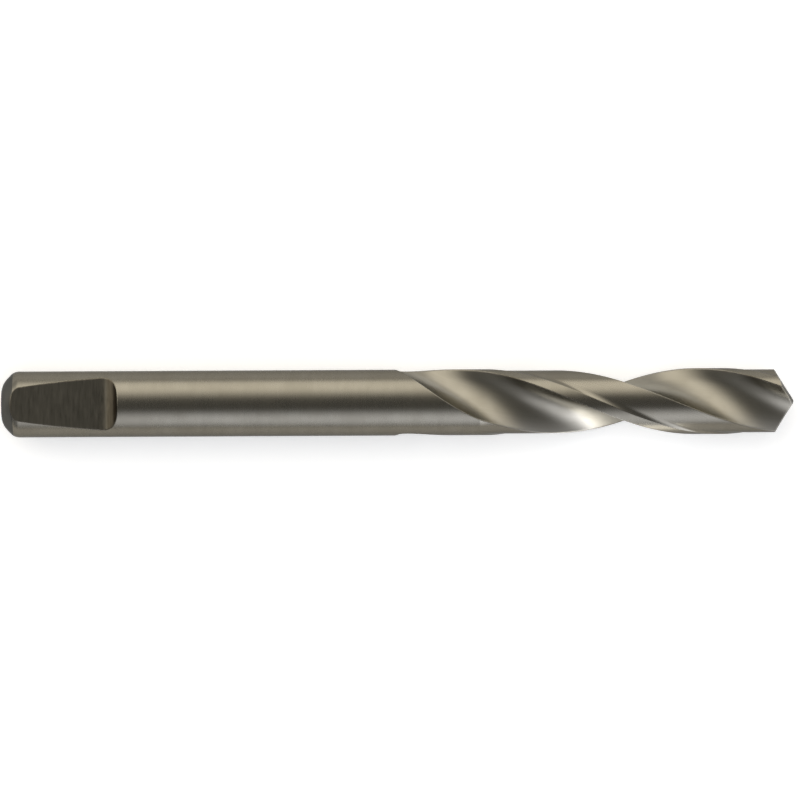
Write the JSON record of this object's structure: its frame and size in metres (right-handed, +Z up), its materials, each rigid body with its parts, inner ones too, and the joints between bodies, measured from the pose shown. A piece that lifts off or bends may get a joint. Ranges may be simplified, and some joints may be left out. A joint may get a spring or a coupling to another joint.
{
  "type": "pilot drill bit",
  "caption": "Straight round shank drill with a sloping set-screw flat, right-hand twist flutes with narrow margins, and an obtuse ground point.",
  "frame": {"origin": "middle of the drill's length, straight below the axis, on the surface it lies on", "axes": "+X along the drill's axis from the shank end to the point, +Z up and out of the set-screw flat"},
  "size_m": [0.0762, 0.0064, 0.0063],
  "materials": {
    "drill_bit": "satin ground, flat ground across, bright flutes"
  },
  "bodies": {
    "root": {"drill_bit": "drill_bit"}
  },
  "joints": []
}
